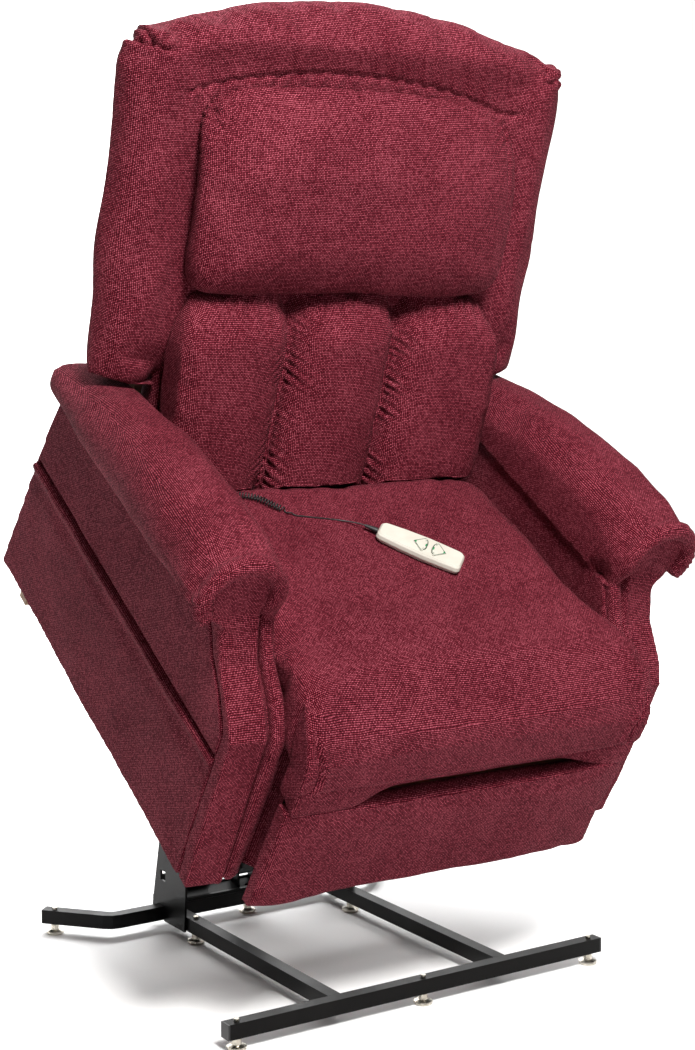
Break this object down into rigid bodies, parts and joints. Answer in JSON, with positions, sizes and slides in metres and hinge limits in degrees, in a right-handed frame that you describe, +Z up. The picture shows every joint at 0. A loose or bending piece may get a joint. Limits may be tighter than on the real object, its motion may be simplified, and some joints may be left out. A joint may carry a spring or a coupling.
{
  "type": "lift recliner chair",
  "caption": "Upholstered power lift recliner with rolled arms and pillow back, raised and tilted forward on a black steel lift frame, with footrest, backrest and a wired handset",
  "frame": {"origin": "on the floor under the centre front levelling foot, at the contact face", "axes": "+Z up, the chair faces -Y, +X to the right of the picture of its front seen from -Y"},
  "size_m": [0.9038, 0.855, 1.5498],
  "materials": {
    "fabric": "coarse woven burgundy upholstery tweed",
    "steel": "gloss black powder coat",
    "plated": "zinc plated steel",
    "wood": "bare plywood and hardwood",
    "black_plastic": "satin black moulded plastic",
    "ivory_plastic": "satin ivory moulded plastic"
  },
  "bodies": {
    "floor_frame": {"front_floor_tube": "steel", "front_tube_cap_left": "black_plastic", "front_tube_cap_right": "black_plastic", "side_floor_tube_left": "steel", "side_floor_tube_right": "steel", "rear_floor_tube": "steel", "lift_bracket_left": "steel", "lift_bracket_right": "steel", "actuator_mount": "steel"},
    "lift_arms": {"lift_arm_left": "steel", "lift_arm_right": "steel", "lift_cross_tube": "steel"},
    "guide_links": {"guide_link_left": "steel", "guide_link_right": "steel"},
    "actuator": {"actuator_tube": "black_plastic", "actuator_motor": "black_plastic"},
    "actuator_rod": {"actuator_rod": "plated"},
    "chair": {"chassis_rail_left": "steel", "chassis_rail_right": "steel", "chassis_front_rail": "steel", "chassis_rear_rail": "steel", "seat_deck_front_rail": "wood", "seat_deck_rear_rail": "wood", "seat_springs": "plated", "control_box": "black_plastic", "arm_frame_left": "wood", "arm_frame_right": "wood", "side_panel_left": "fabric", "side_panel_right": "fabric", "arm_front_left": "fabric", "arm_front_right": "fabric", "arm_pad_left": "fabric", "arm_pad_right": "fabric", "rear_apron": "fabric", "rear_rest_rail": "wood", "seat_cushion": "fabric", "handset_base": "ivory_plastic", "handset_top": "ivory_plastic", "handset_strain_relief": "black_plastic", "handset_cord": "black_plastic", "handset_cord_curl": "black_plastic"},
    "footrest_rear_links": {"footrest_rear_links": "steel"},
    "footrest_front_links": {"footrest_front_links": "steel"},
    "footrest": {"footrest_board": "wood", "footrest_pad": "fabric"},
    "backrest": {"back_frame": "wood", "back_pad": "fabric", "headrest_pillow": "fabric", "lumbar_pad": "fabric", "back_outer_panel": "fabric"},
    "button_up": {"button_up": "ivory_plastic"},
    "button_down": {"button_down": "ivory_plastic"},
    "foot_1": {"levelling_foot_1": "plated"},
    "foot_2": {"levelling_foot_2": "plated"},
    "foot_3": {"levelling_foot_3": "plated"},
    "foot_4": {"levelling_foot_4": "plated"},
    "foot_5": {"levelling_foot_5": "plated"},
    "foot_6": {"levelling_foot_6": "plated"},
    "foot_7": {"levelling_foot_7": "plated"},
    "foot_8": {"levelling_foot_8": "plated"}
  },
  "joints": [
    {"name": "lift", "type": "hinge", "parent": "floor_frame", "child": "lift_arms", "pos_m": [0, 0.5, 0.255], "axis": [1, 0, 0], "range_deg": [0, 62.69]},
    {"name": "chair_tilt", "type": "hinge", "parent": "lift_arms", "child": "chair", "pos_m": [0, 0.23473, 0.39833], "axis": [1, 0, 0], "range_deg": [-95.21, 0.02]},
    {"name": "guide_swing", "type": "hinge", "parent": "floor_frame", "child": "guide_links", "pos_m": [0, 0.44, 0.19], "axis": [1, 0, 0], "range_deg": [-0.02, 45.11]},
    {"name": "actuator_swing", "type": "hinge", "parent": "floor_frame", "child": "actuator", "pos_m": [0, 0.56, 0.08], "axis": [1, 0, 0], "range_deg": [-0.02, 22.26]},
    {"name": "rod_stroke", "type": "slide", "parent": "actuator", "child": "actuator_rod", "axis": [0, -0.4964, 0.8681], "range_m": [-0.0769, 0.0002]},
    {"name": "footrest_open", "type": "hinge", "parent": "chair", "child": "footrest_rear_links", "pos_m": [0, 0.1614, 0.42038], "axis": [-1, 0, 0], "range_deg": [0, 32.63]},
    {"name": "footrest_fold", "type": "hinge", "parent": "footrest_rear_links", "child": "footrest_front_links", "pos_m": [0, 0.06406, 0.27537], "axis": [-1, 0, 0], "range_deg": [-75.44, 0.02]},
    {"name": "footrest_turn", "type": "hinge", "parent": "footrest_front_links", "child": "footrest", "pos_m": [0, -0.04566, 0.36198], "axis": [-1, 0, 0], "range_deg": [-0.02, 132.81]},
    {"name": "recline", "type": "hinge", "parent": "chair", "child": "backrest", "pos_m": [0, 0.41708, 0.76349], "axis": [-1, 0, 0], "range_deg": [0, 30]},
    {"name": "button_up_press", "type": "slide", "parent": "chair", "child": "button_up", "axis": [0, 0.5373, -0.8434], "range_m": [0, 0.0012], "stiffness_N_per_m": 400},
    {"name": "button_down_press", "type": "slide", "parent": "chair", "child": "button_down", "axis": [0, 0.5373, -0.8434], "range_m": [0, 0.0012], "stiffness_N_per_m": 400},
    {"name": "foot_1_screw", "type": "slide", "parent": "floor_frame", "child": "foot_1", "axis": [0, 0, -1], "range_m": [0, 0.01]},
    {"name": "foot_2_screw", "type": "slide", "parent": "floor_frame", "child": "foot_2", "axis": [0, 0, -1], "range_m": [0, 0.01]},
    {"name": "foot_3_screw", "type": "slide", "parent": "floor_frame", "child": "foot_3", "axis": [0, 0, -1], "range_m": [0, 0.01]},
    {"name": "foot_4_screw", "type": "slide", "parent": "floor_frame", "child": "foot_4", "axis": [0, 0, -1], "range_m": [0, 0.01]},
    {"name": "foot_5_screw", "type": "slide", "parent": "floor_frame", "child": "foot_5", "axis": [0, 0, -1], "range_m": [0, 0.01]},
    {"name": "foot_6_screw", "type": "slide", "parent": "floor_frame", "child": "foot_6", "axis": [0, 0, -1], "range_m": [0, 0.01]},
    {"name": "foot_7_screw", "type": "slide", "parent": "floor_frame", "child": "foot_7", "axis": [0, 0, -1], "range_m": [0, 0.01]},
    {"name": "foot_8_screw", "type": "slide", "parent": "floor_frame", "child": "foot_8", "axis": [0, 0, -1], "range_m": [0, 0.01]}
  ],
  "couplings": [
    {"joint": "chair_tilt", "follows": "lift", "ratio": -1.5185},
    {"joint": "guide_swing", "follows": "lift", "ratio": 0.71936},
    {"joint": "actuator_swing", "follows": "lift", "ratio": 0.35481},
    {"joint": "rod_stroke", "follows": "lift", "m_per_rad": -0.070106},
    {"joint": "footrest_fold", "follows": "footrest_open", "ratio": -2.3113},
    {"joint": "footrest_turn", "follows": "footrest_open", "ratio": 4.0696}
  ]
}
